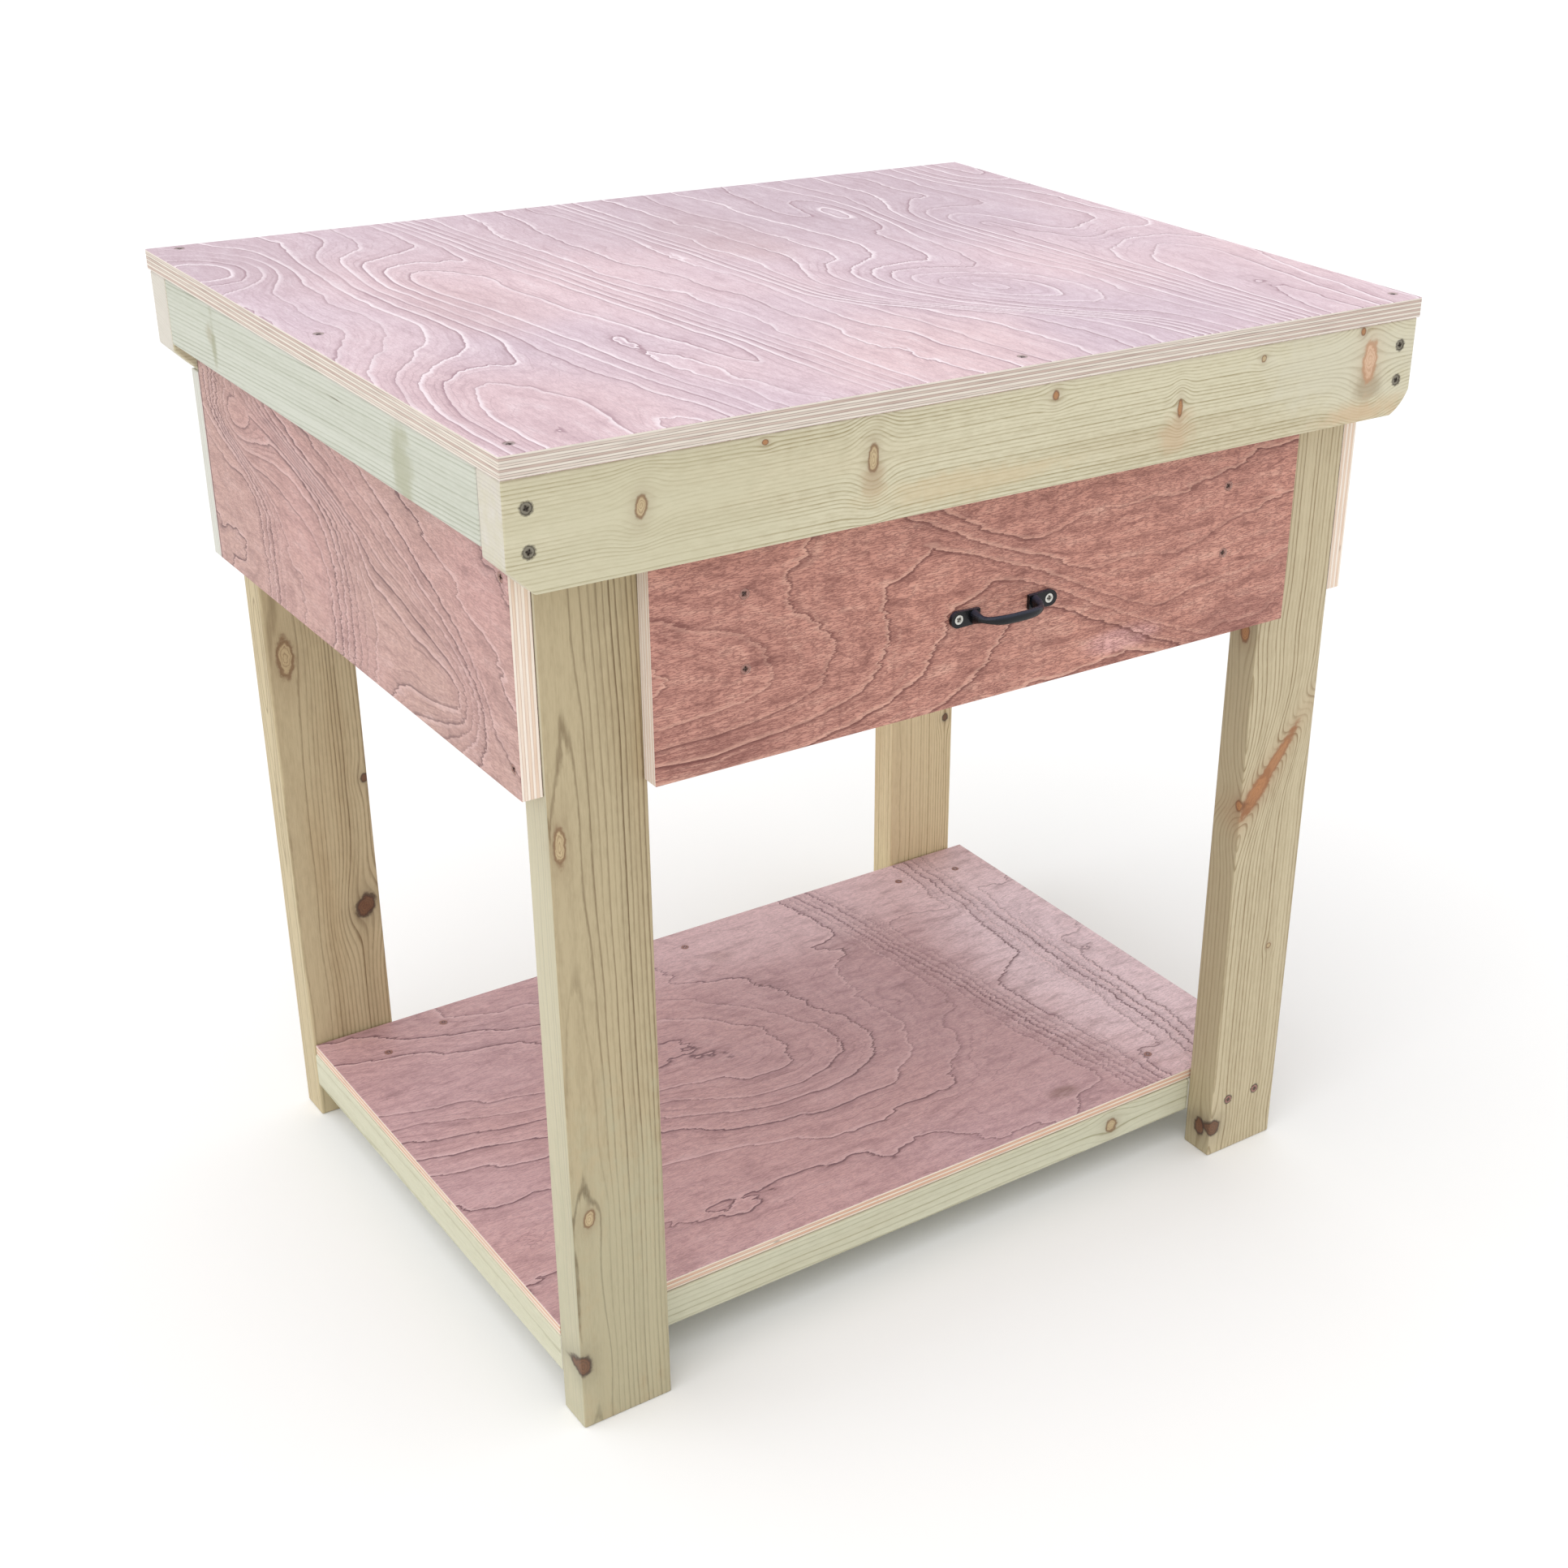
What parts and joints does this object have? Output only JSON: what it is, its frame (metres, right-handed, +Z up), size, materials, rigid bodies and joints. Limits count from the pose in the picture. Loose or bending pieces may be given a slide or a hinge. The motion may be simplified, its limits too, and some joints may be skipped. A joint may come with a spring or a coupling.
{
  "type": "potting bench",
  "caption": "Rectangular softwood and plywood potting bench with a flat worktop, a drawer with a black bow handle, panelled sides and back, and a lower shelf.",
  "frame": {"origin": "on the floor, under the middle of the whole object's outer box", "axes": "+Z up; +X along the worktop, to the right as one faces the drawer; -Y out of the drawer's front, which is the way the drawer opens"},
  "size_m": [0.915, 0.7233, 0.918],
  "materials": {
    "worktop_ply": "unfinished hardwood-faced plywood, pale pink with a wavy grain",
    "panel_ply": "unfinished hardwood-faced plywood, dusty rose with a bold wavy grain",
    "drawer_ply": "unfinished hardwood-faced plywood, reddish brown",
    "shelf_ply": "unfinished hardwood-faced plywood, mauve pink",
    "box_ply": "unfinished plywood, pale",
    "softwood": "planed softwood, pale green-yellow from pressure treatment",
    "black_metal": "black satin paint",
    "screw_steel": "zinc-plated steel"
  },
  "bodies": {
    "bench": {"back_panel": "panel_ply", "front_board": "softwood", "front_board_screw_left_lower": "screw_steel", "front_board_screw_left_upper": "screw_steel", "front_board_screw_right_lower": "screw_steel", "front_board_screw_right_upper": "screw_steel", "front_cross_rail": "softwood", "front_left_leg": "softwood", "front_right_leg": "softwood", "left_guide": "softwood", "left_panel": "panel_ply", "left_panel_screw_lower": "screw_steel", "left_panel_screw_upper": "screw_steel", "left_runner": "softwood", "left_top_rail": "softwood", "rear_board": "softwood", "rear_board_screw_left_lower": "screw_steel", "rear_board_screw_left_upper": "screw_steel", "rear_board_screw_right_lower": "screw_steel", "rear_board_screw_right_upper": "screw_steel", "rear_cross_rail": "softwood", "rear_left_leg": "softwood", "rear_right_leg": "softwood", "right_guide": "softwood", "right_panel": "panel_ply", "right_panel_screw_lower": "screw_steel", "right_panel_screw_upper": "screw_steel", "right_runner": "softwood", "right_top_rail": "softwood", "shelf": "shelf_ply", "shelf_front_rail": "softwood", "shelf_left_rail": "softwood", "shelf_middle_rail": "softwood", "shelf_rear_rail": "softwood", "shelf_right_rail": "softwood", "top_screw_front_left": "screw_steel", "top_screw_front_middle": "screw_steel", "top_screw_front_right": "screw_steel", "top_screw_left": "screw_steel", "top_screw_rear_left": "screw_steel", "worktop": "worktop_ply"},
    "drawer": {"drawer_back": "box_ply", "drawer_base": "box_ply", "drawer_front": "drawer_ply", "drawer_front_screw_left_lower": "screw_steel", "drawer_front_screw_left_upper": "screw_steel", "drawer_front_screw_right_lower": "screw_steel", "drawer_front_screw_right_upper": "screw_steel", "drawer_handle": "black_metal", "drawer_left_side": "box_ply", "drawer_left_stop": "softwood", "drawer_right_side": "box_ply", "drawer_right_stop": "softwood", "handle_screw_left": "screw_steel", "handle_screw_right": "screw_steel"}
  },
  "joints": [
    {"name": "drawer_slide", "type": "slide", "parent": "bench", "child": "drawer", "axis": [0, -1, 0], "range_m": [0, 0.339]}
  ]
}
